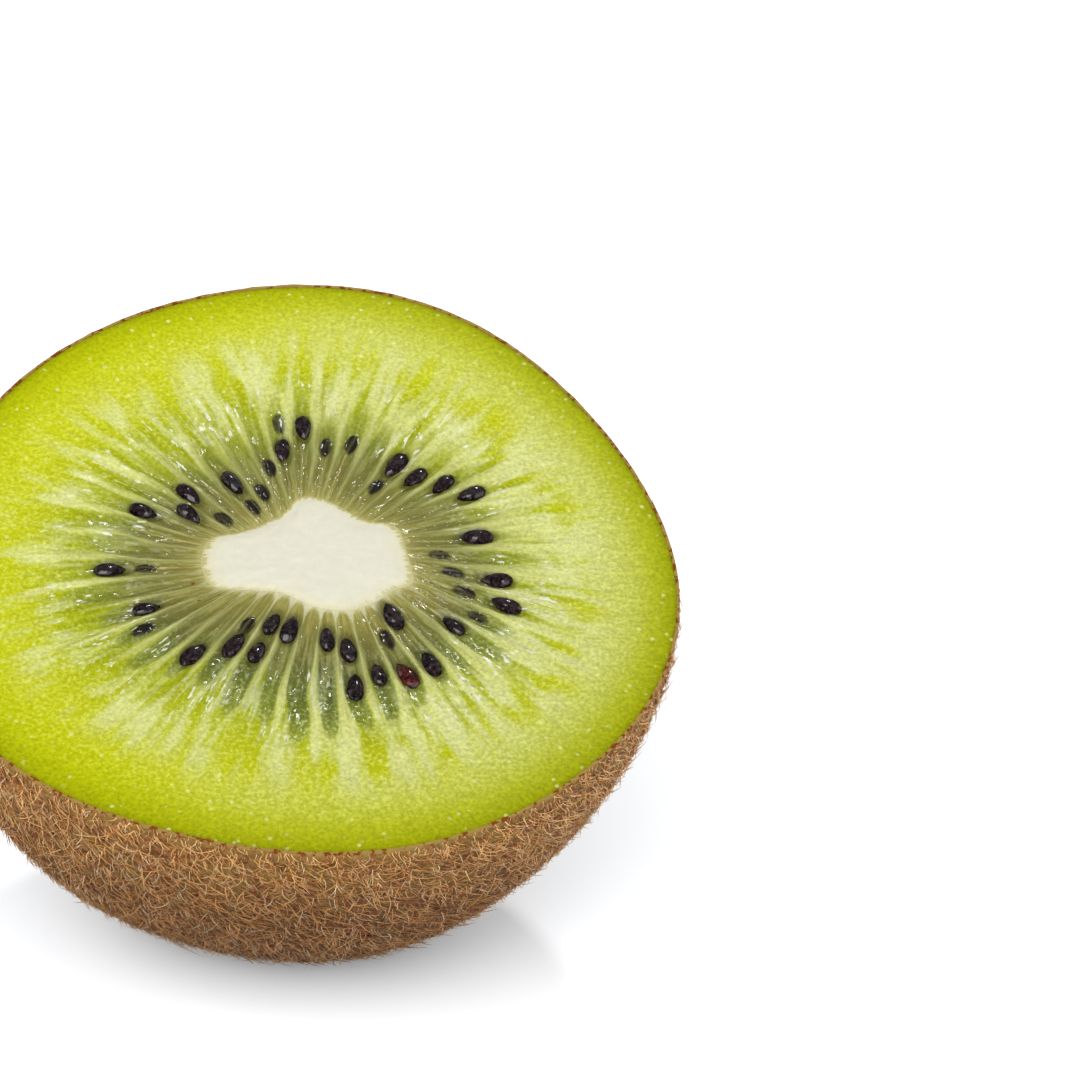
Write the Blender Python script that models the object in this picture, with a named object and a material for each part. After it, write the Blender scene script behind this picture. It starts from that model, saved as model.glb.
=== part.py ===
"""Half of a kiwi fruit, cut across its middle and lying on its rounded skin.

Lengths are in metres, +Z up. Each solid is shaped with the cut face level at z = 0 and
the blossom end below it, and an empty then turns the fruit to the way it lies. The origin
is the middle of the small flat spot that it rests on.
"""

import math
import random

import bmesh
import bpy
from mathutils import Euler, Matrix, Vector

MM = 0.001

# The cut across the fruit: a rounded oval with a few slow bulges, each given as
# (waves round the cut, cosine share, sine share) of the radius.
CUT_HALF_LENGTH = 27.0 * MM
CUT_HALF_WIDTH = 25.8 * MM
CUT_BULGES = ((3, -0.006, -0.024), (5, 0.007, -0.005))

# The rounded half below the cut. The two powers make its sides fuller than an ellipse.
DEPTH = 33.3 * MM
SIDE_POWER = 1.6
END_POWER = 2.42
BUTTON_HEIGHT = 0.7 * MM
BUTTON_RADIUS = 3.0 * MM

# How it lies: tipped forward towards -Y and a little to the side, on a flat spot.
TIP_FORWARD = math.radians(27.7)
TIP_SIDEWAYS = math.radians(1.2)
REST_SPOT_DEPTH = 0.4 * MM

# The pale core: its outline at the cut, anticlockwise from the right, in millimetres.
CORE_CORNERS = (
    (7.8, 1.1), (7.3, 3.6), (4.7, 4.0), (2.4, 5.9), (0.3, 6.4), (-0.9, 4.5),
    (-3.4, 3.1), (-6.4, 2.4), (-7.0, 0.2), (-6.3, -2.1), (-1.2, -2.4), (1.0, -3.8),
    (3.4, -4.2), (5.6, -3.3), (6.8, -2.1), (8.3, -1.9),
)
CORE_CENTRE = (0.9 * MM, 1.1 * MM)
CORE_ROUNDING = 0.018
CORE_LENGTH = 27.0 * MM
CORE_CROWN = 0.25 * MM
CORE_TIP_POWER = 0.55
GAP = 0.3 * MM

# The seed chambers round the core. Their spacing drifts slowly on the way round, each
# wave given as (waves round the core, cosine share, sine share) of one turn.
CHAMBERS = 41
FIRST_CHAMBER = 0.0711
CHAMBER_DRIFT = ((1, 0.0032, -0.0026), (2, -0.0023, 0.0018))
CHAMBER_REACH = 0.46
CHAMBER_SINK = 0.22 * MM

# One mark for each chamber, anticlockwise from the right. A digit is how far out its seed
# lies, in steps from the core towards the skin. A letter is a seed sunk under the gel,
# which leaves no shape on the cut, and a dot is no seed.
OUTER_SEEDS = "9877.gf8iec5.647..8.6h.8663.38788.6g98c7."
INNER_SEEDS = "...d....6..b.b....e.....d3...4.d2...ed..."
SEED_STEP = 0.04
SEED_LENGTH = 2.2 * MM
SEED_WIDTH = 1.35 * MM
SEED_THICKNESS = 1.0 * MM
SEED_RISE = 0.05 * MM
SEED_UNEVENNESS = 0.1

# Mesh fineness: two places round the fruit for each chamber, one in it and one beside it.
PLACES_ROUND = 2 * CHAMBERS
DOME_RINGS = 18
FACE_RINGS = (1.0, 0.97, 0.8, 0.62, 0.48, 0.41, 0.33, 0.25, 0.17, 0.1, 0.04, 0.0)
CORE_RINGS = 7
CROWN_RINGS = (0.0, 0.45, 0.8, 1.0)
MERGE = 0.01 * MM


def clear_scene():
    for item in list(bpy.data.objects):
        bpy.data.objects.remove(item, do_unlink=True)


def place_round(chamber):
    """How far round the core a chamber lies, as a share of one turn."""
    even = FIRST_CHAMBER + chamber / CHAMBERS
    drift = 0.0
    for waves, cosine, sine in CHAMBER_DRIFT:
        angle = math.tau * waves * even
        drift += cosine * math.cos(angle) + sine * math.sin(angle)
    return even + drift


def cut_edge(share):
    """The point on the edge of the cut at this share of a turn."""
    angle = math.tau * share
    radius = 1.0 / math.hypot(math.cos(angle) / CUT_HALF_LENGTH, math.sin(angle) / CUT_HALF_WIDTH)
    bulge = 1.0
    for waves, cosine, sine in CUT_BULGES:
        bulge += cosine * math.cos(waves * angle) + sine * math.sin(waves * angle)
    return Vector((math.cos(angle), math.sin(angle))) * radius * bulge


def core_corner_line(share):
    """The point at this share of the length of the straight-sided core outline."""
    corners = [Vector(corner) * MM for corner in CORE_CORNERS]
    sides = list(zip(corners, corners[1:] + corners[:1]))
    left = (share % 1.0) * sum((end - start).length for start, end in sides)
    for start, end in sides:
        length = (end - start).length
        if left <= length:
            return start.lerp(end, left / length)
        left -= length
    return corners[0]


def core_edge(share, grow=0.0):
    """The core's outline with its corners rounded, moved outwards by grow."""
    taps = [core_corner_line(share + CORE_ROUNDING * step / 2) for step in range(-2, 3)]
    middle = sum(taps, Vector((0.0, 0.0))) / len(taps)
    along = (taps[-1] - taps[0]).normalized()
    return middle + Vector((along.y, -along.x)) * grow


def button(radius):
    """How far the little blossom button at the end of the fruit stands out."""
    return BUTTON_HEIGHT * math.exp(-((radius / BUTTON_RADIUS) ** 4))


def dome_point(chamber, turn):
    """The skin below the cut. turn runs from 0 at the cut to a right angle at the end."""
    depth_share = max(math.sin(turn), 0.0) ** (2.0 / SIDE_POWER)
    width_share = max(math.cos(turn), 0.0) ** (2.0 / END_POWER)
    across = cut_edge(place_round(chamber)) * width_share
    return Vector((across.x, across.y, -DEPTH * depth_share - button(across.length)))


def chamber_sink(chamber, out):
    """How far the soft seed chambers sink below the cut."""
    if not 0.0 < out < CHAMBER_REACH:
        return 0.0
    lengthwise = math.sin(math.pi * out / CHAMBER_REACH)
    crosswise = 0.5 + 0.5 * math.cos(math.tau * chamber)
    return CHAMBER_SINK * lengthwise * crosswise


def face_point(chamber, out):
    """A point on the cut. out runs from 0 at the core to 1 at the skin."""
    share = place_round(chamber)
    across = core_edge(share, GAP / 2).lerp(cut_edge(share), out)
    return Vector((across.x, across.y, -chamber_sink(chamber, out)))


def core_point(chamber, down, grow, length):
    """The long side of the core, or of its pocket, narrowing to a point far below the cut."""
    centre = Vector(CORE_CENTRE)
    narrowing = (1.0 - down**2) ** CORE_TIP_POWER if down < 1.0 else 0.0
    across = centre.lerp(core_edge(place_round(chamber), grow), narrowing)
    return Vector((across.x, across.y, -length * down))


def crown_point(chamber, out):
    """The core's slightly crowned top, from its middle to its edge."""
    across = Vector(CORE_CENTRE).lerp(core_edge(place_round(chamber), -GAP / 2), out)
    return Vector((across.x, across.y, CORE_CROWN * (1.0 - out**4)))


def skin_over_rings(rings):
    """A closed mesh through rings of points. Each ring is a function of the chamber number."""
    bm = bmesh.new()
    chamber_at = bm.verts.layers.float.new("chamber")
    ring = bmesh.ops.create_circle(bm, segments=PLACES_ROUND, radius=1.0)["verts"]
    for place, vert in enumerate(ring):
        vert[chamber_at] = place * CHAMBERS / PLACES_ROUND
    edges = bm.edges[:]
    for number, ring_point in enumerate(rings):
        if number:
            grown = bmesh.ops.extrude_edge_only(bm, edges=edges)["geom"]
            ring = [item for item in grown if isinstance(item, bmesh.types.BMVert)]
            edges = [item for item in grown if isinstance(item, bmesh.types.BMEdge)]
        for vert in ring:
            vert.co = ring_point(vert[chamber_at])
    bmesh.ops.remove_doubles(bm, verts=bm.verts, dist=MERGE)
    bmesh.ops.recalc_face_normals(bm, faces=bm.faces)
    return bm


def cut_rest_spot(bm, lie):
    """Cuts the flat spot under the fruit and gives its middle."""
    down = lie.to_matrix().transposed() @ Vector((0.0, 0.0, -1.0))
    lowest = max(vert.co.dot(down) for vert in bm.verts)
    everything = bm.verts[:] + bm.edges[:] + bm.faces[:]
    level = down * (lowest - REST_SPOT_DEPTH)
    cut = bmesh.ops.bisect_plane(
        bm, geom=everything, dist=MERGE / 10, plane_co=level, plane_no=down, clear_outer=True
    )
    loop = [item for item in cut["geom_cut"] if isinstance(item, bmesh.types.BMEdge)]
    spot = bmesh.ops.contextual_create(bm, geom=loop)["faces"][0]
    bmesh.ops.recalc_face_normals(bm, faces=bm.faces)
    return spot.calc_center_median_weighted()


def material(name, colour, roughness):
    made = bpy.data.materials.new(name)
    made.use_nodes = True
    shader = made.node_tree.nodes["Principled BSDF"]
    shader.inputs["Base Color"].default_value = (*colour, 1.0)
    shader.inputs["Roughness"].default_value = roughness
    shader.inputs["Metallic"].default_value = 0.0
    made.diffuse_color = (*colour, 1.0)
    return made


def new_object(name, bm, materials, collection=None):
    mesh = bpy.data.meshes.new(name)
    bm.to_mesh(mesh)
    bm.free()
    for item in materials:
        mesh.materials.append(item)
    made = bpy.data.objects.new(name, mesh)
    (collection or bpy.context.scene.collection).objects.link(made)
    return made


def make_flesh(lie, flesh, skin):
    rings = [
        lambda chamber, turn=math.pi / 2 * (1.0 - ring / DOME_RINGS): dome_point(chamber, turn)
        for ring in range(DOME_RINGS)
    ]
    rings += [lambda chamber, out=out: face_point(chamber, out) for out in FACE_RINGS]
    rings += [
        lambda chamber, down=math.sin(math.pi / 2 * ring / CORE_RINGS): core_point(
            chamber, down, GAP / 2, CORE_LENGTH + GAP
        )
        for ring in range(1, CORE_RINGS + 1)
    ]
    bm = skin_over_rings(rings)
    for face in bm.faces:
        centre = face.calc_center_median()
        outside = centre.xy.length > 0.5 * CUT_HALF_WIDTH or centre.z < -CORE_LENGTH - GAP
        face.material_index = int(outside and face.normal.z < 0.5)
    spot_centre = cut_rest_spot(bm, lie)
    return new_object("flesh", bm, [flesh, skin]), spot_centre


def make_core(pale):
    rings = [lambda chamber, out=out: crown_point(chamber, out) for out in CROWN_RINGS]
    rings += [
        lambda chamber, down=math.sin(math.pi / 2 * ring / CORE_RINGS): core_point(
            chamber, down, -GAP / 2, CORE_LENGTH
        )
        for ring in range(1, CORE_RINGS + 1)
    ]
    return new_object("core", skin_over_rings(rings), [pale])


def make_seed(name, chamber, out, size, dark, collection):
    """A flattened drop half sunk in the cut, with its point towards the core."""
    place = face_point(chamber, out)
    outward = face_point(chamber, out + SEED_STEP) - place
    bm = bmesh.new()
    bmesh.ops.create_uvsphere(bm, u_segments=6, v_segments=4, radius=0.5)
    for vert in bm.verts:
        taper = 1.0 + 0.5 * vert.co.z
        vert.co = Vector((vert.co.z, vert.co.x * taper, vert.co.y * taper))
    shape = Matrix.Diagonal((SEED_LENGTH * size, SEED_WIDTH * size, SEED_THICKNESS * size, 1.0))
    turn = Matrix.Rotation(math.atan2(outward.y, outward.x), 4, "Z")
    bm.transform(Matrix.Translation(place + Vector((0.0, 0.0, SEED_RISE))) @ turn @ shape)
    bmesh.ops.recalc_face_normals(bm, faces=bm.faces)
    return new_object(name, bm, [dark], collection)


def sow_seeds(flesh, dark):
    """Fuses one solid for every seed that stands out of the cut to the flesh."""
    collection = bpy.data.collections.new("seeds")
    bpy.context.scene.collection.children.link(collection)
    draw = random.Random(41)
    for row, marks in (("outer", OUTER_SEEDS), ("inner", INNER_SEEDS)):
        for chamber, mark in enumerate(marks):
            size = 1.0 + draw.uniform(-SEED_UNEVENNESS, SEED_UNEVENNESS)
            if mark.isdigit():
                name = f"{row}_seed_{chamber:02d}"
                make_seed(name, chamber, int(mark) * SEED_STEP, size, dark, collection)
    join = flesh.modifiers.new("seeds", "BOOLEAN")
    join.operation = "UNION"
    join.operand_type = "COLLECTION"
    join.collection = collection
    join.solver = "EXACT"
    join.material_mode = "TRANSFER"
    with bpy.context.temp_override(object=flesh, active_object=flesh):
        bpy.ops.object.modifier_apply(modifier=join.name)
    for seed in list(collection.objects):
        bpy.data.objects.remove(seed, do_unlink=True)
    bpy.data.collections.remove(collection)
    drop_slivers(flesh)


def drop_slivers(piece):
    """Closes up the needle-thin faces that joining leaves where the seeds meet the cut."""
    bm = bmesh.new()
    bm.from_mesh(piece.data)
    bmesh.ops.triangulate(bm, faces=bm.faces)
    bmesh.ops.remove_doubles(bm, verts=bm.verts, dist=MERGE)
    bmesh.ops.dissolve_degenerate(bm, dist=MERGE, edges=bm.edges)
    bm.to_mesh(piece.data)
    bm.free()


def main():
    clear_scene()
    green = material("flesh green", (0.42, 0.52, 0.06), 0.35)
    brown = material("fuzzy skin", (0.25, 0.14, 0.07), 0.85)
    cream = material("core cream", (0.80, 0.77, 0.60), 0.5)
    dark = material("seed black", (0.02, 0.012, 0.018), 0.3)
    lie = Euler((TIP_FORWARD, TIP_SIDEWAYS, 0.0))
    flesh, spot_centre = make_flesh(lie, green, brown)
    core = make_core(cream)
    sow_seeds(flesh, dark)
    fruit = bpy.data.objects.new("kiwi_half", None)
    bpy.context.scene.collection.objects.link(fruit)
    fruit.rotation_euler = lie
    fruit.location = -(lie.to_matrix() @ spot_centre)
    for piece in (flesh, core):
        piece.parent = fruit
        piece.data.shade_smooth()
        piece.data.set_sharp_from_angle(angle=math.radians(40))


main()
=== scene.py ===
"""The look of a kiwi fruit half: moist green flesh, pale core, dark seeds and a furry brown skin.

Lengths are in metres, +Z up. Each piece is shaped with the cut face level at z = 0, its
middle at the origin, and lie_down() then turns it to the way the fruit lies in the frame.
"""

import math
import random
from collections import namedtuple

import bmesh
import bpy
import numpy as np
from mathutils import Euler, Matrix, Vector


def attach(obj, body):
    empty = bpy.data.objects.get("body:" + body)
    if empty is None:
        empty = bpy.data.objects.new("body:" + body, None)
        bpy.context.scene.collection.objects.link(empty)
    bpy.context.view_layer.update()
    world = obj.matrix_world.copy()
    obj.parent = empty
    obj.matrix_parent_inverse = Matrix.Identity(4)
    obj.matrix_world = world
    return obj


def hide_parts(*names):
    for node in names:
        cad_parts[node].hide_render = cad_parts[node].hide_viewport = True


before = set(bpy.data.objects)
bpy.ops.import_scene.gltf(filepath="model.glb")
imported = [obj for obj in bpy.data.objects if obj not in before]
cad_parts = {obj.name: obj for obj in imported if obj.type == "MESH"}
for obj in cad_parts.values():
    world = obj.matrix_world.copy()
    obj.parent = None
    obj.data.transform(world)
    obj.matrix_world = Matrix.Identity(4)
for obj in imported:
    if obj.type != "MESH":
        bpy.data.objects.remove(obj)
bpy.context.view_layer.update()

MM = 0.001
TURN = math.tau
WELD = 0.004 * MM
SHARP_ANGLE = math.radians(55.0)

# How dark a surface's own colour is beside the way it looks under the studio's light.
SHADE = 0.486

# The sockets that a Mix node uses for colours.
MIX_FACTOR, MIX_FIRST, MIX_SECOND, MIX_RESULT = 0, 6, 7, 2
NOISE_DETAIL = 2.0

# The cut across the fruit, its depth and the way it lies, as in the solids.
CUT_HALF_LENGTH = 27.0 * MM
CUT_HALF_WIDTH = 25.8 * MM
CUT_BULGES = ((3, -0.006, -0.024), (5, 0.007, -0.005))
DEPTH = 33.3 * MM
SIDE_POWER = 1.6
END_POWER = 2.42
BUTTON_HEIGHT = 0.7 * MM
BUTTON_RADIUS = 3.0 * MM
TIP_FORWARD = math.radians(27.7)
TIP_SIDEWAYS = math.radians(1.2)
CUT_CENTRE = (-0.25 * MM, -5.92 * MM, 31.75 * MM)

# The pale core, and the small gap that the solids leave round it.
CORE_CORNERS = (
    (7.8, 1.1), (7.3, 3.6), (4.7, 4.0), (2.4, 5.9), (0.3, 6.4), (-0.9, 4.5),
    (-3.4, 3.1), (-6.4, 2.4), (-7.0, 0.2), (-6.3, -2.1), (-1.2, -2.4), (1.0, -3.8),
    (3.4, -4.2), (5.6, -3.3), (6.8, -2.1), (8.3, -1.9),
)
CORE_CENTRE = (0.9 * MM, 1.1 * MM)
CORE_ROUNDING = 0.018
CORE_LENGTH = 27.0 * MM
CORE_CROWN = 0.25 * MM
CORE_TIP_POWER = 0.55
GAP = 0.3 * MM

# The seed chambers and their seeds, one mark for each chamber: a digit is a seed that
# stands out of the cut, a letter one sunk under the gel, both in steps away from the core.
CHAMBERS = 41
FIRST_CHAMBER = 0.0711
CHAMBER_DRIFT = ((1, 0.0032, -0.0026), (2, -0.0023, 0.0018))
CHAMBER_REACH = 0.46
CHAMBER_SINK = 0.22 * MM
OUTER_SEEDS = "9877.gf8iec5.647..8.6h.8663.38788.6g98c7."
INNER_SEEDS = "...d....6..b.b....e.....d3...4.d2...ed..."
SEED_STEP = 0.04
SEED_LENGTH = 2.2 * MM
SEED_WIDTH = 1.35 * MM
SEED_THICKNESS = 1.0 * MM
SEED_RISE = 0.05 * MM
SEED_UNEVENNESS = 0.1
RED_SEED_CHAMBER = 31

Seed = namedtuple("Seed", "chamber out size proud")


# Outlines and surfaces, for whole arrays of places at once

def place_round(chamber):
    """How far round the core a chamber lies, as a share of one turn."""
    even = FIRST_CHAMBER + chamber / CHAMBERS
    drift = sum(
        cosine * np.cos(TURN * waves * even) + sine * np.sin(TURN * waves * even)
        for waves, cosine, sine in CHAMBER_DRIFT
    )
    return even + drift


def cut_edge(share):
    """The points on the edge of the cut at these shares of a turn."""
    angle = TURN * share
    radius = 1.0 / np.hypot(np.cos(angle) / CUT_HALF_LENGTH, np.sin(angle) / CUT_HALF_WIDTH)
    bulge = 1.0 + sum(
        cosine * np.cos(waves * angle) + sine * np.sin(waves * angle)
        for waves, cosine, sine in CUT_BULGES
    )
    return np.stack((np.cos(angle), np.sin(angle)), -1) * (radius * bulge)[..., None]


def core_corner_line(share):
    """The points at these shares of the length of the straight-sided core outline."""
    corners = np.array(CORE_CORNERS + CORE_CORNERS[:1]) * MM
    lengths = np.concatenate(([0.0], np.cumsum(np.hypot(*np.diff(corners, axis=0).T))))
    reached = share % 1.0 * lengths[-1]
    return np.stack([np.interp(reached, lengths, corners[:, axis]) for axis in (0, 1)], -1)


def core_edge(share, grow=0.0):
    """The core's outline with its corners rounded, moved outwards by grow."""
    taps = [core_corner_line(share + CORE_ROUNDING * step / 2) for step in range(-2, 3)]
    along = unit(taps[-1] - taps[0])
    outward = np.stack((along[..., 1], -along[..., 0]), -1)
    return sum(taps) / len(taps) + outward * np.asarray(grow)[..., None]


def dome_points(chamber, turn, inset=0.0):
    """The skin below the cut, or a surface inside it. turn is 0 at the cut, a right angle at the end."""
    depth_share = np.maximum(np.sin(turn), 0.0) ** (2.0 / SIDE_POWER)
    width_share = np.maximum(np.cos(turn), 0.0) ** (2.0 / END_POWER)
    rim = cut_edge(place_round(chamber))
    size = 1.0 - np.asarray(inset) / CUT_HALF_WIDTH
    across = rim * (width_share * size)[..., None]
    radius = np.linalg.norm(across, axis=-1)
    button = BUTTON_HEIGHT * np.exp(-((radius / BUTTON_RADIUS) ** 4))
    return np.concatenate((across, -(DEPTH * size * depth_share + button)[..., None]), -1)


def chamber_sink(chamber, out):
    """How far the soft seed chambers sink below the cut."""
    inside = np.clip(out / CHAMBER_REACH, 0.0, 1.0)
    return CHAMBER_SINK * np.sin(math.pi * inside) * (0.5 + 0.5 * np.cos(TURN * chamber))


def face_points(chamber, out, grow=GAP / 2):
    """Points on the cut. out runs from 0 at the core to 1 at the skin."""
    share = place_round(chamber)
    out = np.asarray(out)[..., None]
    across = core_edge(share, grow) * (1.0 - out) + cut_edge(share) * out
    return np.concatenate((across, -chamber_sink(chamber, out[..., 0])[..., None]), -1)


def core_side_points(chamber, down, grow, length):
    """The long side of the core, or of its pocket, narrowing to a point far below the cut."""
    narrowing = np.maximum(1.0 - down**2, 0.0) ** CORE_TIP_POWER
    across = np.array(CORE_CENTRE) * (1.0 - narrowing)[..., None]
    across = across + core_edge(place_round(chamber), grow) * narrowing[..., None]
    return np.concatenate((across, -(length * down)[..., None]), -1)


def unit(vectors):
    return vectors / np.linalg.norm(vectors, axis=-1, keepdims=True)


def soft_step(low, high, value):
    share = np.clip((value - low) / (high - low), 0.0, 1.0)
    return share * share * (3.0 - 2.0 * share)


def bell(middle, width, value):
    return np.exp(-(((value - middle) / width) ** 2))


def drift_noise(chamber, along, cells_round, cells_along, seed):
    """Smooth random values from -1 to 1 that join up round the fruit."""
    lattice = np.random.default_rng(seed).uniform(-1.0, 1.0, (cells_round, cells_along + 2))
    across = chamber / CHAMBERS % 1.0 * cells_round
    along = np.clip(along, 0.0, 1.0) * cells_along
    column = across.astype(int)
    row = along.astype(int)
    right = soft_step(0.0, 1.0, across - column)
    up = soft_step(0.0, 1.0, along - row)
    left_column, right_column = column % cells_round, (column + 1) % cells_round
    low = lattice[left_column, row] * (1.0 - right) + lattice[right_column, row] * right
    high = lattice[left_column, row + 1] * (1.0 - right) + lattice[right_column, row + 1] * right
    return low * (1.0 - up) + high * up


# Meshes

def lie_down(points):
    """Turns and moves points from the level cut to the way the fruit lies."""
    turn = np.array(Euler((TIP_FORWARD, TIP_SIDEWAYS, 0.0)).to_matrix())
    return points @ turn.T + np.array(CUT_CENTRE)


def to_mesh(bm, name):
    mesh = bpy.data.meshes.new(name)
    bm.to_mesh(mesh)
    bm.free()
    return mesh


def add_object(name, data):
    made = bpy.data.objects.new(name, data)
    bpy.context.scene.collection.objects.link(made)
    return made


def store_field(mesh, name, values):
    """Keeps one number or one vector for each point of the mesh, for its material to read."""
    kind, key = ("FLOAT", "value") if values.ndim == 1 else ("FLOAT_VECTOR", "vector")
    mesh.attributes.new(name, kind, "POINT").data.foreach_set(key, values.astype(np.float32).ravel())


def finish_piece(name, mesh, material, slot, *nodes):
    """Makes the mesh a piece of the object, in place of the solids named."""
    mesh.materials.append(material)
    mesh.shade_smooth()
    mesh.set_sharp_from_angle(angle=SHARP_ANGLE)
    piece = add_object(name, mesh)
    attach(piece, "root")
    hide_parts(*nodes)


def wrapped_mesh(name, places, rings, shape):
    """A closed mesh: a flat grid whose sides meet round the fruit and whose ends close to points.

    shape(chamber, ring) gives the points and a dictionary of fields for arrays of places.
    """
    bm = bmesh.new()
    bmesh.ops.create_grid(bm, x_segments=places, y_segments=rings - 1, size=0.5)
    mesh = to_mesh(bm, name)
    flat = np.empty(len(mesh.vertices) * 3, np.float32)
    mesh.vertices.foreach_get("co", flat)
    flat = flat.reshape(-1, 3).astype(float)
    chamber = np.rint((flat[:, 0] + 0.5) * places) / places * CHAMBERS % CHAMBERS
    ring = np.rint((flat[:, 1] + 0.5) * (rings - 1)).astype(int)
    points, fields = shape(chamber, ring)
    points = lie_down(points)
    points[:, 2] = np.maximum(points[:, 2], 0.0)
    mesh.vertices.foreach_set("co", points.astype(np.float32).ravel())
    for label, values in fields.items():
        store_field(mesh, label, values)
    bm = bmesh.new()
    bm.from_mesh(mesh)
    bmesh.ops.remove_doubles(bm, verts=bm.verts, dist=WELD)
    bmesh.ops.recalc_face_normals(bm, faces=bm.faces)
    bm.to_mesh(mesh)
    bm.free()
    return mesh


# Colours and node helpers

def colour(red, green, blue, shade=SHADE):
    """A colour given as it looks under the studio's light, 0 to 255, made the surface's own colour."""
    shares = [value / 255 for value in (red, green, blue)]
    linear = [
        share / 12.92 if share <= 0.04045 else ((share + 0.055) / 1.055) ** 2.4
        for share in shares
    ]
    return (*[value * shade for value in linear], 1.0)


def fill_sockets(tree, node, inputs):
    """Gives each of the node's sockets a value, or links another node's socket to it."""
    for name, value in inputs.items():
        if isinstance(value, bpy.types.NodeSocket):
            tree.links.new(value, node.inputs[name])
        else:
            node.inputs[name].default_value = value


def add_node(tree, kind, inputs=None, **settings):
    made = tree.nodes.new("ShaderNode" + kind)
    for name, value in settings.items():
        setattr(made, name, value)
    fill_sockets(tree, made, inputs or {})
    return made


def maths(tree, operation, *values):
    return add_node(tree, "Math", dict(enumerate(values)), operation=operation).outputs[0]


def times(tree, first, second):
    return maths(tree, "MULTIPLY", first, second)


def scaled(tree, value, factor, offset):
    return maths(tree, "MULTIPLY_ADD", value, factor, offset)


def mix_colours(tree, share, first, second, blend="MIX"):
    inputs = {MIX_FACTOR: share, MIX_FIRST: first, MIX_SECOND: second}
    return add_node(tree, "Mix", inputs, data_type="RGBA", blend_type=blend).outputs[MIX_RESULT]


def tint(tree, body, look, share, strength=1.0):
    """Lays the colour that looks like (red, green, blue) over the body, by share and strength."""
    return mix_colours(tree, times(tree, share, strength), body, colour(*look))


def ramp(tree, value, stops):
    """A colour ramp. stops are (place, colour) pairs."""
    made = add_node(tree, "ValToRGB", {"Fac": value})
    elements = made.color_ramp.elements
    while len(elements) < len(stops):
        elements.new(0.5)
    for element, (place, shade) in zip(elements, stops):
        element.position = place
        element.color = shade
    return made.outputs["Color"]


def tones(tree, value, looks):
    """A colour ramp of (place, red, green, blue), as they look under the studio's light."""
    return ramp(tree, value, [(place, colour(*look)) for place, *look in looks])


def mask(tree, value, low, high):
    """0 up to low, 1 from high on."""
    inputs = {"Value": value, "From Min": low, "From Max": high}
    return add_node(tree, "MapRange", inputs, interpolation_type="SMOOTHSTEP").outputs["Result"]


def field(tree, name):
    return add_node(tree, "Attribute", attribute_name=name).outputs["Fac"]


def vector_field(tree, name):
    return add_node(tree, "Attribute", attribute_name=name).outputs["Vector"]


def object_place(tree):
    return add_node(tree, "TexCoord").outputs["Object"]


def height_above_table(tree):
    return add_node(tree, "SeparateXYZ", {"Vector": object_place(tree)}).outputs["Z"]


def bump(tree, height, depth, strength):
    inputs = {"Height": height, "Distance": depth, "Strength": strength}
    return add_node(tree, "Bump", inputs).outputs["Normal"]


def new_material(name, **values):
    """A material with its own shader, whose even values are set straight on the shader."""
    made = bpy.data.materials.new(name)
    made.use_nodes = True
    shader = made.node_tree.nodes["Principled BSDF"]
    for socket, value in values.items():
        shader.inputs[socket.replace("_", " ").title().replace("Ior", "IOR")].default_value = value
    return made, made.node_tree, shader


def feed(tree, shader, sockets):
    for name, socket in sockets.items():
        tree.links.new(socket, shader.inputs[name])


def new_group(name, inputs, outputs):
    """A node group. inputs are (name, kind, value), outputs (name, kind)."""
    group = bpy.data.node_groups.new(name, "ShaderNodeTree")
    for label, kind, value in inputs:
        socket = group.interface.new_socket(label, in_out="INPUT", socket_type="NodeSocket" + kind)
        if value is not None:
            socket.default_value = value
    for label, kind in outputs:
        group.interface.new_socket(label, in_out="OUTPUT", socket_type="NodeSocket" + kind)
    entry = group.nodes.new("NodeGroupInput")
    leave = group.nodes.new("NodeGroupOutput")
    return group, entry.outputs, leave.inputs


def use_group(tree, group, **inputs):
    made = tree.nodes.new("ShaderNodeGroup")
    made.node_tree = group
    fill_sockets(tree, made, inputs)
    return made.outputs


def streak_group():
    """Long soft streaks: noise that is fine across them and stretched along them."""
    group, entry, leave = new_group(
        "streaks",
        (("Place", "Vector", None), ("Fineness", "Float", 1.0), ("Stretch", "Float", 8.0),
         ("From", "Float", 0.4), ("To", "Float", 0.6)),
        (("Mask", "Float"),),
    )
    parts = add_node(group, "SeparateXYZ", {"Vector": entry["Place"]}).outputs
    squeezed = maths(group, "DIVIDE", parts["Z"], entry["Stretch"])
    place = add_node(group, "CombineXYZ", {"X": parts["X"], "Y": parts["Y"], "Z": squeezed}).outputs[0]
    noise = add_node(group, "TexNoise",
                     {"Vector": place, "Scale": entry["Fineness"], "Detail": NOISE_DETAIL})
    inputs = {"Value": noise.outputs["Fac"], "From Min": entry["From"], "From Max": entry["To"]}
    shaped = add_node(group, "MapRange", inputs, interpolation_type="SMOOTHSTEP")
    group.links.new(shaped.outputs["Result"], leave["Mask"])
    return group


def streaks(tree, groups, ray, fineness, stretch, start, end):
    made = use_group(tree, groups["streaks"], Place=ray, Fineness=fineness, Stretch=stretch,
                     From=start, To=end)
    return made["Mask"]


def grain_group():
    """Small rounded grains: how high each stands, and how its tone differs from the next."""
    group, entry, leave = new_group(
        "grain",
        (("Place", "Vector", None), ("Scale", "Float", 1500.0)),
        (("Height", "Float"), ("Tone", "Float")),
    )
    pattern = {"Vector": entry["Place"], "Scale": entry["Scale"]}
    cells = add_node(group, "TexVoronoi", pattern, feature="F1")
    tone = add_node(group, "TexNoise", {**pattern, "Detail": NOISE_DETAIL})
    height = maths(group, "SUBTRACT", 1.0, cells.outputs["Distance"])
    group.links.new(height, leave["Height"])
    group.links.new(tone.outputs["Fac"], leave["Tone"])
    return group


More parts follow.
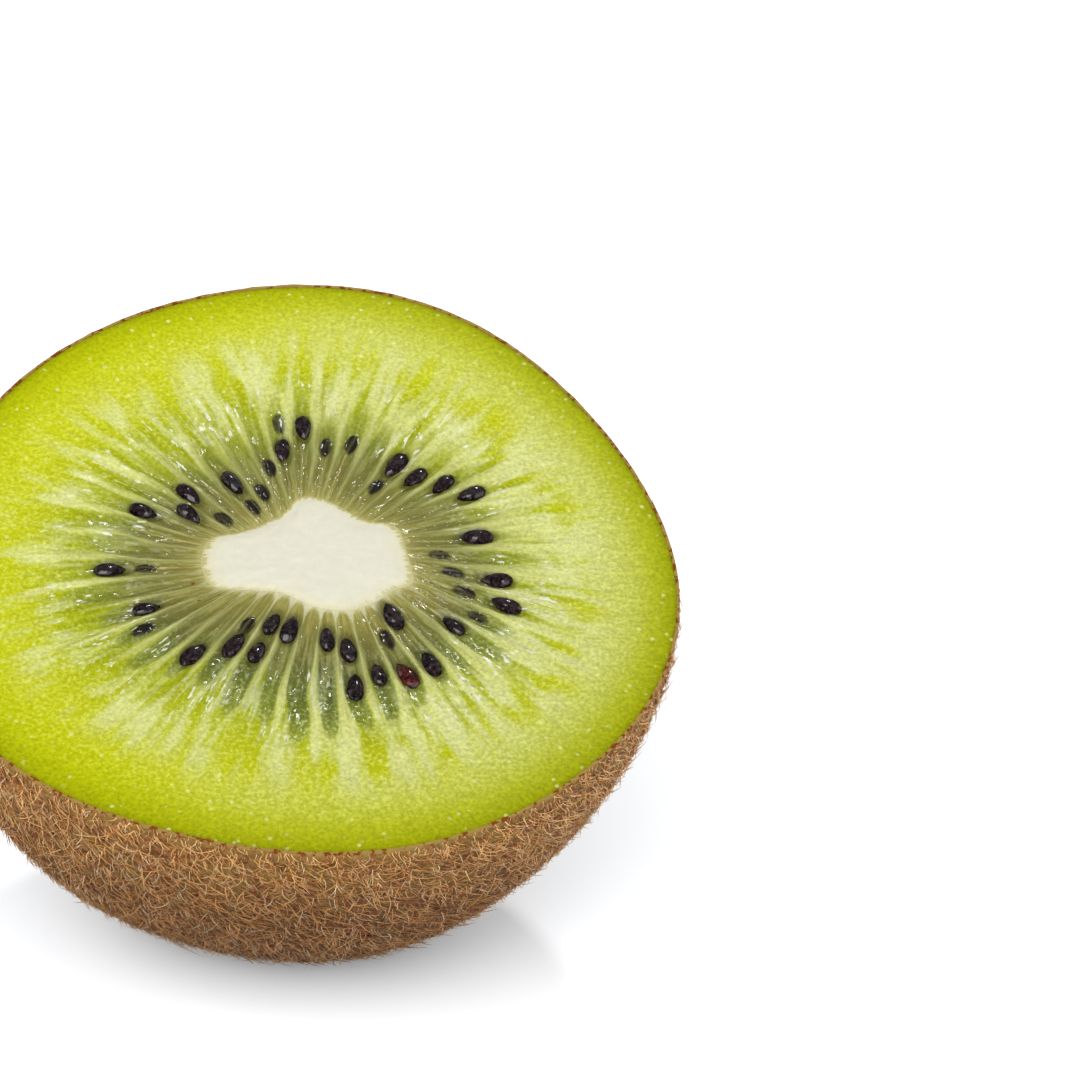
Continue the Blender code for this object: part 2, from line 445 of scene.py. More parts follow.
# The flesh: its face, the soft gel in its chambers, and the marks that colour it

CHAMBER_PLACES = 22
FACE_FINE_RINGS = 58
FACE_COARSE_RINGS = 28
FINE_SHARE = 0.56
DOME_RINGS = 7
POCKET_RINGS = 4
SKIN_THICKNESS = 0.2 * MM
RIM_ROUNDING = 0.12 * MM
CHAMBER_WALK = 0.16
GEL_LENGTH = 0.56
GEL_LENGTH_SWING = 0.07
GEL_WIDTH = 0.4
GEL_WIDTH_SWING = 0.05
SPOT_OUT = 0.62
SPOT_OUT_SWING = 0.07
WALL_RIDGE = 0.06 * MM
GEL_LUMPS = 0.05 * MM
KNIFE_WAVES = 0.12 * MM
SUNK_SEED_LIFT = 0.12 * MM
SUNK_SEED_SIZE = 0.88
SOCKET_DEPTH = 0.08 * MM
RAY_LENGTH = 9.3
# The wet hollow round a seed, darkened with painted shade, fades in from its outer to its inner edge, in
# half seed widths.
SOCKET_EDGE = (1.57, 1.12)
# Lumps of the gel: how much finer than the chambers, rows, seed.
FINE_LUMPS = ((5, 50, 21), (9, 90, 22))
# Tiny reddish specks on the cut: chamber, how far out, size.
SPECKS = ((19.2, 0.05, 0.2 * MM), (20.8, 0.095, 0.15 * MM), (32.4, 0.51, 0.15 * MM))
# The chambers where the gel is darkest, where the flesh is palest with a painted sheen, and where it is
# brightest with painted light.
DARK_SIDE = 27.3
PAINTED_SHEEN_SIDE = 38.5
PAINTED_LIGHT_SIDE = 11.5
DARK_SIDE_WIDTH = 7.0
# How pale the flesh is: a middle, a swing round the fruit that is a painted sheen, and the flesh's own
# patches.
PALE_MIDDLE = 0.42
PAINTED_SHEEN_SWING = 0.28
PALE_PATCHES = 0.16
# How bright the flesh's grain is: a middle, and a swing round the fruit that is painted light, brightest
# on one side.
LIGHT_MIDDLE = 0.6
PAINTED_LIGHT_SWING = 0.1

# How the flesh looks on its way out from the core: (how far out, red, green, blue).
RICH_GREEN = (
    (0.26, 140, 148, 34), (0.38, 158, 167, 14), (0.5, 174, 183, 14), (0.6, 193, 200, 26),
    (0.72, 202, 208, 28), (0.82, 200, 207, 4), (0.9, 190, 198, 0), (0.97, 172, 180, 0),
    (1.0, 144, 144, 0),
)
LIGHT_GREEN = (
    (0.2, 170, 172, 104), (0.34, 198, 202, 116), (0.46, 216, 220, 130), (0.58, 224, 228, 146),
    (0.7, 218, 222, 138), (0.8, 207, 212, 108), (0.9, 188, 195, 50), (0.97, 168, 176, 16),
    (1.0, 144, 148, 8),
)
NEAR_CORE = (
    (0.0, 166, 159, 92), (0.03, 154, 148, 82), (0.08, 142, 138, 74), (0.16, 142, 141, 78),
    (0.26, 158, 162, 90),
)
DARK_GEL = (
    (0.0, 176, 168, 98), (0.03, 160, 152, 80), (0.08, 146, 139, 68), (0.16, 124, 120, 60),
    (0.26, 102, 104, 52), (0.36, 96, 106, 48), (0.46, 118, 129, 46), (0.56, 158, 168, 56),
)
LIGHT_GEL = (
    (0.0, 168, 161, 92), (0.03, 150, 145, 76), (0.08, 136, 132, 66), (0.16, 128, 126, 60),
    (0.24, 126, 129, 52), (0.32, 146, 154, 44), (0.4, 164, 173, 36), (0.48, 174, 184, 32),
    (0.58, 190, 199, 40),
)

# How its marks look: red, green, blue.
JELLY = (176, 192, 120)
RIDGE = (204, 204, 142)
THREAD = (196, 178, 104)
LIGHT_FIBRE = (222, 224, 146)
DARK_FIBRE = (74, 72, 18)
CREAM_EDGE = (194, 187, 116)
CREAM_GAP = (228, 223, 186)
SUNK_SEED = (32, 26, 24)
# Painted shade in the hollow round each seed that stands out.
PAINTED_SOCKET_SHADE = (76, 74, 26)
RED_SPECK = (124, 50, 16)
# Painted highlights: pale glaze streaks and small white glints.
PAINTED_GLAZE = (234, 238, 190)
PAINTED_GLINT = (246, 248, 228)
PEARL = (238, 242, 160)
GRANULE = (230, 234, 146)

# Its streaks: how fine, how stretched, and the noise where each streak starts and is full.
FLESH_STREAKS = {
    "fibres": (5.0, 7.0, 0.3, 0.7),
    "teeth": (4.0, 9.0, 0.4, 0.62),
    "rays": (1.2, 5.0, 0.34, 0.66),
    "thin rays": (3.0, 7.0, 0.34, 0.66),
    # The painted glints.
    "painted_glints": (7.0, 3.0, 0.62, 0.67),
}
THIN_RAY_SHARE = 1.1
RAY_MIDDLE = 1.05
RAY_CONTRAST = 0.7
WALL_PALENESS = 0.45
SPOT_RICHNESS = 0.8
FIBRE_CONTRAST = 0.4


def seed_marks():
    """Every seed of the ring."""
    draw = random.Random(41)
    found = []
    for marks in (OUTER_SEEDS, INNER_SEEDS):
        for chamber, mark in enumerate(marks):
            size = 1.0 + draw.uniform(-SEED_UNEVENNESS, SEED_UNEVENNESS)
            if mark.isdigit():
                found.append(Seed(chamber, int(mark) * SEED_STEP, size, True))
            elif mark != ".":
                found.append(Seed(chamber, (ord(mark) - ord("a") + 1) * SEED_STEP, size, False))
    return found


def seed_place(seed):
    """The middle of a seed on the cut, and a point one step further out."""
    return face_points(np.full(2, float(seed.chamber)), seed.out + np.array((0.0, SEED_STEP)))


def dark_side(chamber):
    """1 in the middle of the chambers whose gel is darkest and deepest, 0 far round from them."""
    round_way = (chamber - DARK_SIDE + CHAMBERS / 2) % CHAMBERS - CHAMBERS / 2
    return bell(0.0, DARK_SIDE_WIDTH, round_way)


def chamber_fields(chamber, out):
    """What the flesh is made of at each place: shares of gel, deep gel, wall and so on."""
    number = np.rint(chamber).astype(int) % CHAMBERS
    dark = dark_side(chamber)
    # Every chamber draws its own length, width, green spot beyond its end, and thread.
    draw = np.random.default_rng(7)
    length = GEL_LENGTH + GEL_LENGTH_SWING * draw.uniform(-1, 1, CHAMBERS)
    fullness = GEL_WIDTH + GEL_WIDTH_SWING * draw.uniform(-1, 1, CHAMBERS)
    spot_out = SPOT_OUT + SPOT_OUT_SWING * draw.uniform(-1, 1, CHAMBERS)
    spot_share = draw.uniform(0.0, 1.0, CHAMBERS)
    thread_share = draw.uniform(0.0, 1.0, CHAMBERS) ** 2
    # Where a place lies across and along its chamber, whose walls wander a little.
    walk = CHAMBER_WALK * drift_noise(chamber, out, CHAMBERS, 6, 11)
    offset = chamber + walk - np.rint(chamber)
    across = np.abs(offset)
    along = np.clip(out / (length[number] + 0.01 * dark), 0.0, 1.0)
    # The gel is blunter and fuller on the dark side, where it also starts in a round arch.
    taper = (1.0 - along ** (2.4 + 2.6 * dark)) ** (0.8 - 0.3 * dark) * (1.0 - 0.25 * along * dark)
    half_width = fullness[number] * taper
    arch = 1.0 - dark * soft_step(0.012, 0.0, out - 0.003 - 1.3 * across**4)
    gel = soft_step(-0.13, 0.12, half_width - across) * arch
    gel *= soft_step(1.0, 0.5 + 0.3 * dark, along)
    # Between two chambers stands a wall, with a pale ridge along its middle.
    wall = soft_step(0.26, 0.46, across) * soft_step(0.2, 0.36, out) * soft_step(0.66, 0.42, out)
    ridge = bell(0.5, 0.045, (chamber + walk) % 1.0)
    ridge *= soft_step(0.015, 0.05, out) * soft_step(0.5, 0.36, out) * (0.35 + 0.65 * dark)
    # Drifts of colour, a painted sheen and painted light, and where the painted glints go.
    deep = 0.1 + 0.9 * dark + 0.3 * drift_noise(chamber, out, CHAMBERS, 4, 12)
    spot = spot_share[number] * bell(0.0, 0.17, offset) * bell(spot_out[number], 0.03, out)
    thread = thread_share[number] * bell(0.0, 0.035, offset)
    thread *= soft_step(0.0, 0.05, out) * soft_step(0.3, 0.22, out)
    # Painted sheen: the flesh is paler round towards one side, in place of a soft reflection there; the
    # patches added next are the flesh's own tone.
    pale = PALE_MIDDLE + PAINTED_SHEEN_SWING * np.cos(TURN * (chamber - PAINTED_SHEEN_SIDE) / CHAMBERS)
    pale += PALE_PATCHES * drift_noise(chamber, out, 14, 6, 13)
    # Where the painted glints and painted glaze go, in patches between the core and the outer flesh.
    wet = soft_step(-0.1, 0.35, drift_noise(chamber, out, 54, 9, 14))
    wet *= soft_step(0.15, 0.3, out) * soft_step(0.66, 0.5, out)
    # Painted light: the outer flesh is brighter round towards one side and darker on the other.
    painted_lightness = LIGHT_MIDDLE + PAINTED_LIGHT_SWING * np.cos(TURN * (chamber - PAINTED_LIGHT_SIDE) / CHAMBERS) * out
    return {
        "gel": gel, "deep": np.clip(deep, 0.0, 1.0), "arch": arch, "wall": wall, "ridge": ridge,
        "spot": spot, "thread": thread, "pale": pale, "wet": wet, "painted_lightness": painted_lightness,
    }


def seed_fields(chamber, out):
    """How dark the seeds under the gel show, and the wet hollow round each seed that stands out."""
    sunk = np.zeros_like(out)
    socket = np.zeros_like(out)
    points = face_points(chamber, out)[:, :2]
    for seed in seed_marks():
        middle, ahead = seed_place(seed)[:, :2]
        along = unit(ahead - middle)
        offset = points - middle
        shown = seed.size if seed.proud else seed.size * SUNK_SEED_SIZE
        length = offset @ along / (SEED_LENGTH * 0.5 * shown)
        width = offset @ np.array((-along[1], along[0])) / (SEED_WIDTH * 0.42 * shown)
        away = np.hypot(length, width)
        if seed.proud:
            socket = np.maximum(socket, soft_step(*SOCKET_EDGE, away))
        else:
            sunk = np.maximum(sunk, soft_step(1.04, 0.76, away))
    return {"sunk": sunk, "socket": socket}


def speck_field(chamber, out):
    """How near each place is to one of the red specks."""
    points = face_points(chamber, out)[:, :2]
    found = np.zeros_like(out)
    for speck_chamber, speck_out, size in SPECKS:
        middle = face_points(np.array([speck_chamber]), np.array([speck_out]))[0, :2]
        found = np.maximum(found, bell(0.0, size, np.linalg.norm(points - middle, axis=-1)))
    return found


def ray_place(chamber, along):
    """Places for streaks that run out from the core: even steps round it, and along from it."""
    angle = TURN * place_round(chamber)
    radius = CHAMBERS / TURN
    return np.stack((radius * np.cos(angle), radius * np.sin(angle), along), -1)


def flesh_shape(chamber, ring):
    """The flesh from the blossom end up inside the skin, across the cut and down the core's pocket."""
    fine = np.linspace(0.0, FINE_SHARE, FACE_FINE_RINGS + 1)
    coarse = np.linspace(FINE_SHARE, 1.0, FACE_COARSE_RINGS + 1)
    outs = np.concatenate((coarse[::-1], fine[::-1][1:]))
    face_rings = len(outs)
    turn = math.pi / 2 * (1.0 - np.clip(ring / DOME_RINGS, 0.0, 1.0))
    face_number = np.clip(ring - DOME_RINGS, 0, face_rings - 1)
    out = outs[face_number]
    pocket_share = np.clip((ring - DOME_RINGS - face_rings + 1) / POCKET_RINGS, 0.0, 1.0)
    down = np.sin(math.pi / 2 * pocket_share)
    fields = chamber_fields(chamber, out)
    fields.update(seed_fields(chamber, out))
    fields["speck"] = speck_field(chamber, out)
    fields["out"] = out
    fields["ray"] = ray_place(chamber, RAY_LENGTH * out)

    inset = SKIN_THICKNESS * (0.5 + 3.0 * np.sin(turn))
    edge_share = 1.0 - SKIN_THICKNESS / 2 / CUT_HALF_WIDTH
    face = face_points(chamber, out * edge_share, 0.0)
    lumps = sum(
        drift_noise(chamber, out, CHAMBERS * finer, rows, seed) for finer, rows, seed in FINE_LUMPS
    )
    furrows = drift_noise(chamber, out, CHAMBERS * 6, 14, 23)
    slow = drift_noise(chamber, out, 9, 4, 24)
    centre_calm = soft_step(0.0, 0.06, out) * soft_step(1.0, 0.97, out)
    relief = WALL_RIDGE * fields["wall"]
    relief += GEL_LUMPS * lumps * fields["gel"]
    relief += GEL_LUMPS * 0.5 * furrows * soft_step(0.75, 0.4, out)
    relief += KNIFE_WAVES * slow * 0.5
    relief += SUNK_SEED_LIFT * fields["sunk"] - SOCKET_DEPTH * fields["socket"]
    face[:, 2] += relief * centre_calm - RIM_ROUNDING * soft_step(0.975, 1.0, out) ** 2
    dome = dome_points(chamber, turn, inset)
    dome[:, 2] -= RIM_ROUNDING * (turn < 0.01)
    pocket = core_side_points(chamber, down, 0.0, CORE_LENGTH + GAP)

    points = np.where((ring < DOME_RINGS)[:, None], dome, face)
    points = np.where((ring > DOME_RINGS + face_rings - 1)[:, None], pocket, points)
    return points, fields


def flesh_green(tree, out, marks):
    """The plain flesh: rich green crossed by lighter rays, and browner close to the core."""
    ray_zone = times(tree, mask(tree, out, 0.2, 0.4), mask(tree, out, 0.86, 0.6))
    both_rays = scaled(tree, marks["thin rays"], THIN_RAY_SHARE, marks["rays"])
    swing = times(tree, maths(tree, "SUBTRACT", both_rays, RAY_MIDDLE), ray_zone)
    # The pale share carries the painted sheen as well as the flesh's own pale patches.
    share = scaled(tree, swing, RAY_CONTRAST, field(tree, "pale"))
    share = scaled(tree, field(tree, "wall"), WALL_PALENESS, share)
    share = scaled(tree, field(tree, "spot"), -SPOT_RICHNESS, share)
    rich, light = tones(tree, out, RICH_GREEN), tones(tree, out, LIGHT_GREEN)
    body = mix_colours(tree, mask(tree, share, 0.0, 1.0), rich, light)
    return mix_colours(tree, mask(tree, out, 0.36, 0.2), body, tones(tree, out, NEAR_CORE))


def add_gel(tree, body, out, gel, marks):
    """The clear gel of the chambers, darkest on one side, with ridges and threads between them."""
    deep = field(tree, "deep")
    gel_colour = mix_colours(tree, deep, tones(tree, out, LIGHT_GEL), tones(tree, out, DARK_GEL))
    torn = scaled(tree, marks["fibres"], 0.3, -0.15)
    gel_share = mask(tree, maths(tree, "ADD", gel, torn), 0.2, 0.8)
    body = mix_colours(tree, gel_share, body, gel_colour)
    murky = times(tree, gel_share, scaled(tree, deep, 0.75, 0.25))
    jelly_zone = times(tree, murky, mask(tree, out, 0.14, 0.3))
    jelly = times(tree, mask(tree, marks["grain"], 0.5, 0.66), jelly_zone)
    body = tint(tree, body, JELLY, jelly, 0.34)
    body = tint(tree, body, RIDGE, field(tree, "ridge"), 0.75)
    return tint(tree, body, THREAD, field(tree, "thread"))


def add_fibres(tree, body, out, marks):
    """Light and dark fibres that run outwards, and the torn cream edge round the core."""
    zone = times(tree, mask(tree, out, 0.72, 0.35), FIBRE_CONTRAST)
    tone = times(tree, maths(tree, "SUBTRACT", marks["fibres"], 0.5), zone)
    body = tint(tree, body, LIGHT_FIBRE, maths(tree, "MAXIMUM", tone, 0.0))
    body = tint(tree, body, DARK_FIBRE, maths(tree, "MAXIMUM", times(tree, tone, -1.0), 0.0))
    edge = scaled(tree, marks["teeth"], -0.032, out)
    body = tint(tree, body, CREAM_EDGE, mask(tree, edge, 0.002, -0.016), 0.5)
    between = maths(tree, "SUBTRACT", 1.0, field(tree, "arch"))
    return tint(tree, body, CREAM_GAP, times(tree, between, mask(tree, out, 0.07, 0.01)), 0.85)


def add_seed_marks(tree, body, marks):
    """The seeds under the gel, painted shade in the hollows round the others, and the small red specks.
    """
    veil = scaled(tree, marks["fibres"], -0.36, 1.1)
    body = tint(tree, body, SUNK_SEED, field(tree, "sunk"), veil)
    # Painted shade in the hollow round each seed that stands out.
    body = tint(tree, body, PAINTED_SOCKET_SHADE, field(tree, "socket"), 0.55)
    return tint(tree, body, RED_SPECK, mask(tree, field(tree, "speck"), 0.3, 0.8), 0.85)


def add_painted_highlights(tree, body, gel, marks):
    """Painted highlights: a pale glaze along the fibres and small white glints."""
    wet = field(tree, "wet")
    painted_glaze = times(tree, mask(tree, marks["teeth"], 0.55, 1.0), wet)
    body = tint(tree, body, PAINTED_GLAZE, times(tree, painted_glaze, scaled(tree, gel, -0.75, 1.0)), 0.4)
    return tint(tree, body, PAINTED_GLINT, times(tree, marks["painted_glints"], wet), 0.85)


def add_grains(tree, body, out, grain, pearls):
    """The grainy outer flesh: big pearly grains, and fine light and dark ones, with painted light making
    one side brighter.
    """
    pearl_zone = times(tree, mask(tree, out, 0.4, 0.55), mask(tree, pearls["Tone"], 0.44, 0.58))
    pearl_share = times(tree, mask(tree, pearls["Height"], 0.72, 0.9), pearl_zone)
    body = tint(tree, body, PEARL, pearl_share, 0.6)
    # Painted light: the grain's brightness swings round the fruit.
    speckle = scaled(tree, grain["Tone"], 0.8, field(tree, "painted_lightness"))
    speckled = mix_colours(tree, 1.0, body, speckle, "MULTIPLY")
    body = mix_colours(tree, mask(tree, out, 0.1, 0.5), body, speckled)
    zone = times(tree, mask(tree, out, 0.3, 0.6), mask(tree, out, 0.94, 0.74))
    return tint(tree, body, GRANULE, times(tree, mask(tree, grain["Tone"], 0.5, 0.7), zone), 0.34)


def flesh_material(groups):
    material, tree, shader = new_material(
        "moist green flesh", subsurface_weight=0.1, subsurface_scale=0.4 * MM, ior=1.4,
        specular_ior_level=0.04, coat_ior=1.4, coat_roughness=0.1,
    )
    shader.inputs["Subsurface Radius"].default_value = (1.0, 1.0, 0.35)
    out = field(tree, "out")
    ray = vector_field(tree, "ray")
    gel = field(tree, "gel")
    place = object_place(tree)
    grain = use_group(tree, groups["grain"], Place=place, Scale=3600.0)
    pearls = use_group(tree, groups["grain"], Place=place, Scale=1300.0)
    marks = {name: streaks(tree, groups, ray, *values) for name, values in FLESH_STREAKS.items()}
    marks["grain"] = grain["Tone"]

    body = flesh_green(tree, out, marks)
    body = add_gel(tree, body, out, gel, marks)
    body = add_fibres(tree, body, out, marks)
    body = add_seed_marks(tree, body, marks)
    body = add_painted_highlights(tree, body, gel, marks)
    body = add_grains(tree, body, out, grain, pearls)
    shiny = maths(tree, "MAXIMUM", gel, field(tree, "socket"))
    relief = scaled(tree, marks["fibres"], 0.4, grain["Tone"])
    feed(tree, shader, {
        "Base Color": body,
        "Roughness": scaled(tree, gel, -0.2, 0.5),
        "Coat Weight": times(tree, shiny, 0.45),
        "Normal": bump(tree, relief, 0.12 * MM, 0.8),
    })
    return material


def make_flesh(groups):
    rings = DOME_RINGS + FACE_COARSE_RINGS + FACE_FINE_RINGS + 1 + POCKET_RINGS
    mesh = wrapped_mesh("flesh_cut", CHAMBERS * CHAMBER_PLACES, rings, flesh_shape)
    finish_piece("flesh_cut", mesh, flesh_material(groups), "flesh", "flesh")


# The pale core

CORE_CROWN_RINGS = 26
CORE_SIDE_RINGS = 5
CORE_OVERLAP = 0.04 * MM
CORE_PLACES = 12
CORE_LUMPS = 0.05 * MM
CORE_TEETH = (5.0, 9.0, 0.36, 0.64)
CORE_DRIFT = (1.2, 9.0, 0.3, 0.7)
CORE_CREAM = ((0.0, 232, 229, 210), (0.8, 231, 228, 206), (1.0, 229, 224, 192))
CORE_FRINGE = ((0.96, 227, 221, 180), (1.0, 218, 210, 154), (1.06, 192, 184, 114))


def core_shape(chamber, ring):
    """The core from its crowned top, out to its edge and down to its point."""
    out = np.clip(ring / CORE_CROWN_RINGS, 0.0, 1.0)
    down = np.sin(math.pi / 2 * np.clip((ring - CORE_CROWN_RINGS) / CORE_SIDE_RINGS, 0.0, 1.0))
    edge = core_edge(place_round(chamber), CORE_OVERLAP)
    top = np.array(CORE_CENTRE) * (1.0 - out)[:, None] + edge * out[:, None]
    lumps = out * drift_noise(chamber, out, 24, 6, 31)
    lumps += 0.4 * out * drift_noise(chamber, out, 60, 12, 32)
    height = CORE_CROWN * (1.0 - out**4) + CORE_LUMPS * lumps * soft_step(1.0, 0.9, out)
    crown = np.concatenate((top, height[:, None]), -1)
    side = core_side_points(chamber, down, CORE_OVERLAP, CORE_LENGTH)
    points = np.where((ring > CORE_CROWN_RINGS)[:, None], side, crown)
    ray = ray_place(chamber, 4.0 * out)
    return points, {"out": out, "ray": ray, "fringed": 1.0 - 0.85 * dark_side(chamber)}


def core_material(groups):
    material, tree, shader = new_material(
        "pale core", subsurface_weight=0.15, subsurface_scale=0.25 * MM, ior=1.38,
    )
    shader.inputs["Subsurface Radius"].default_value = (1.0, 0.9, 0.6)
    out = field(tree, "out")
    ray = vector_field(tree, "ray")
    grain = use_group(tree, groups["grain"], Place=object_place(tree), Scale=1800.0)
    teeth = streaks(tree, groups, ray, *CORE_TEETH)
    drift = streaks(tree, groups, ray, *CORE_DRIFT)
    ragged = scaled(tree, teeth, 0.045, scaled(tree, drift, 0.035, out))
    fringe_share = times(tree, mask(tree, ragged, 0.95, 1.0), field(tree, "fringed"))
    body = mix_colours(tree, fringe_share, tones(tree, out, CORE_CREAM), tones(tree, ragged, CORE_FRINGE))
    speckle = scaled(tree, grain["Tone"], 0.3, 0.85)
    feed(tree, shader, {
        "Base Color": mix_colours(tree, 0.5, body, speckle, "MULTIPLY"),
        "Roughness": scaled(tree, grain["Tone"], 0.3, 0.35),
        "Normal": bump(tree, grain["Height"], 0.03 * MM, 0.5),
    })
    return material


def make_core(groups):
    rings = CORE_CROWN_RINGS + CORE_SIDE_RINGS + 1
    mesh = wrapped_mesh("core_pale", CHAMBERS * CORE_PLACES, rings, core_shape)
    finish_piece("core_pale", mesh, core_material(groups), "core", "core")


# The seeds

SEED_ROUND = 24
SEED_LONG = 18
PIT_DEPTH = 0.07
PITS = 70
PIT_REACH = 0.03
SEED_TAPER = 0.38
SEED_POINT = 0.03
# The solids' seeds have few faces, so that a rounder one has to be this much slimmer to match.
FACETED_SHARE = 0.87


def seed_drop(draw):
    """One seed of unit size: a drop with its point towards -X, pitted all over."""
    bm = bmesh.new()
    bmesh.ops.create_uvsphere(bm, u_segments=SEED_ROUND, v_segments=SEED_LONG, radius=0.5)
    dents = [
        Vector((draw.gauss(0, 1), draw.gauss(0, 1), draw.gauss(0, 1))).normalized()
        for _ in range(PITS)
    ]
    for vert in bm.verts:
        way = vert.co.normalized()
        nearest = max(way.dot(dent) for dent in dents)
        pit = PIT_DEPTH * max(0.0, 1.0 - (1.0 - nearest) / PIT_REACH)
        taper = 1.0 + SEED_TAPER * vert.co.z
        pointed = vert.co.z - (SEED_POINT if vert.co.z < -0.49 else 0.0)
        vert.co = Vector((pointed, vert.co.x * taper, vert.co.y * taper)) * (1.0 - pit)
    return bm


def seed_mesh(name, seeds, seed):
    """All the seeds of one kind, half sunk in the cut."""
    draw = random.Random(seed)
    whole = bmesh.new()
    lean = Euler((TIP_FORWARD, TIP_SIDEWAYS, 0.0)).to_matrix().to_4x4()
    home = Matrix.Translation(CUT_CENTRE) @ lean
    broad, thick = SEED_WIDTH * FACETED_SHARE, SEED_THICKNESS * FACETED_SHARE
    for mark in seeds:
        here, ahead = seed_place(mark)
        bm = seed_drop(draw)
        shape = Matrix.Diagonal((SEED_LENGTH * mark.size, broad * mark.size, thick * mark.size, 1.0))
        swing = math.atan2(ahead[1] - here[1], ahead[0] - here[0]) + draw.uniform(-0.15, 0.15)
        nod = Matrix.Rotation(draw.uniform(-0.12, 0.12), 4, "Y")
        roll = Matrix.Rotation(draw.uniform(-0.3, 0.3), 4, "X")
        place = Matrix.Translation(Vector(here) + Vector((0.0, 0.0, SEED_RISE)))
        bm.transform(home @ place @ Matrix.Rotation(swing, 4, "Z") @ nod @ roll @ shape)
        bmesh.ops.recalc_face_normals(bm, faces=bm.faces)
        mesh = to_mesh(bm, "seed")
        whole.from_mesh(mesh)
        bpy.data.meshes.remove(mesh)
    return to_mesh(whole, name)


def seed_material(groups, name, dark, light):
    material, tree, shader = new_material(
        name, ior=1.45, specular_ior_level=0.08, coat_ior=1.55, coat_roughness=0.12,
    )
    place = object_place(tree)
    grain = use_group(tree, groups["grain"], Place=place, Scale=3600.0)
    wrinkles = use_group(tree, groups["grain"], Place=place, Scale=1500.0)
    wet = mask(tree, wrinkles["Tone"], 0.5, 0.56)
    relief = scaled(tree, wrinkles["Tone"], 2.5, grain["Height"])
    feed(tree, shader, {
        "Base Color": tones(tree, grain["Tone"], ((0.42, *dark), (0.68, *light))),
        "Roughness": scaled(tree, grain["Tone"], 0.3, 0.25),
        "Coat Weight": times(tree, wet, 0.6),
        "Normal": bump(tree, relief, 0.22 * MM, 1.0),
    })
    return material


def make_seeds(groups):
    proud = [seed for seed in seed_marks() if seed.proud]
    red = [seed for seed in proud if seed.chamber == RED_SEED_CHAMBER]
    black = [seed for seed in proud if seed.chamber != RED_SEED_CHAMBER]
    purple_black = seed_material(groups, "purple black seeds", (15, 8, 12), (58, 38, 43))
    red_brown = seed_material(groups, "red brown seeds", (48, 10, 12), (110, 40, 32))
    finish_piece("seeds_black", seed_mesh("seeds_black", black, 51), purple_black, "seeds", "flesh")
    finish_piece("seeds_red", seed_mesh("seeds_red", red, 52), red_brown, "seeds", "flesh")


# The rind

RIND_PLACES = 13
RIND_RINGS = 84
RIND_INNER_RINGS = 6
RIND_LUMPS = 0.05 * MM
RIND_LUMP_SIZES = ((4, 60, 1.0, 41), (6, 90, 0.6, 42))
LIP_HEIGHT = 0.05 * MM
RIND_BROWN = ((0.3, 88, 48, 18), (0.48, 134, 88, 42), (0.64, 172, 126, 74))
RIND_OLIVE = (150, 124, 58)
# The painted shade low on the rind.
RIND_PAINTED_SHADE = (60, 34, 14)
LIP_TAN = (176, 144, 72)
LIP_DASHES = (132, 66, 10)
# Painted shade: the rind and its hairs get darker from the height of the front rim down to the underside,
# where shade falls under the fruit.
FRONT_RIM_HEIGHT = 20.5 * MM
UNDERSIDE = 9.0 * MM


def rind_shape(chamber, ring):
    """The rind from its inner middle, up to the lip at the cut and down round the outside."""
    inner = ring < RIND_INNER_RINGS
    inside_turn = math.pi / 2 * (1.0 - ring / (RIND_INNER_RINGS - 1))
    outside_turn = math.pi / 2 * np.clip((ring - RIND_INNER_RINGS) / (RIND_RINGS - 1), 0.0, 1.0)
    turn = np.where(inner, inside_turn, outside_turn)
    inset = np.where(inner, SKIN_THICKNESS, 0.0)
    points = dome_points(chamber, np.clip(turn, 0.0, math.pi / 2), inset)
    down = turn / (math.pi / 2)
    lumps = sum(
        share * drift_noise(chamber, down, CHAMBERS * finer, rows, seed)
        for finer, rows, share, seed in RIND_LUMP_SIZES
    )
    outer_calm = soft_step(0.0, 0.02, down) * soft_step(1.0, 0.98, down) * ~inner
    points = points + unit(points) * (RIND_LUMPS * (lumps - 1.0) * outer_calm)[:, None]
    lip = LIP_HEIGHT * drift_noise(chamber, down, CHAMBERS * 5, 2, 43)
    points[:, 2] += np.where(turn < 0.01, lip, 0.0)
    return points, {"down": down}


def rind_material(groups):
    material, tree, shader = new_material("brown rind", ior=1.4, specular_ior_level=0.15)
    down = field(tree, "down")
    place = object_place(tree)
    grain = use_group(tree, groups["grain"], Place=place, Scale=2200.0)
    patches = use_group(tree, groups["grain"], Place=place, Scale=420.0)
    body = tones(tree, grain["Tone"], RIND_BROWN)
    green = mask(tree, patches["Tone"], 0.45, 0.62)
    body = tint(tree, body, RIND_OLIVE, maths(tree, "MAXIMUM", green, mask(tree, down, 0.07, 0.01)), 0.6)
    # Painted shade, darker from the front rim's height down to the underside.
    low = mask(tree, height_above_table(tree), FRONT_RIM_HEIGHT, UNDERSIDE)
    body = tint(tree, body, RIND_PAINTED_SHADE, low, 0.65)
    lip = mask(tree, down, 0.03, 0.008)
    body = tint(tree, body, LIP_TAN, lip, 0.8)
    body = tint(tree, body, LIP_DASHES, lip, mask(tree, grain["Tone"], 0.52, 0.58))
    feed(tree, shader, {
        "Base Color": body,
        "Roughness": scaled(tree, grain["Tone"], 0.3, 0.6),
        "Normal": bump(tree, grain["Height"], 0.12 * MM, 0.9),
    })
    return material


def make_rind(groups):
    mesh = wrapped_mesh("rind", CHAMBERS * RIND_PLACES, RIND_INNER_RINGS + RIND_RINGS, rind_shape)
    finish_piece("rind", mesh, rind_material(groups), "skin", "flesh")


# The hairs on the rind

HAIR_SIDES = 3
HAIR_FLOOR = 0.03 * MM
ROOT_DEPTH = 0.05 * MM
TURN_CELLS = 240
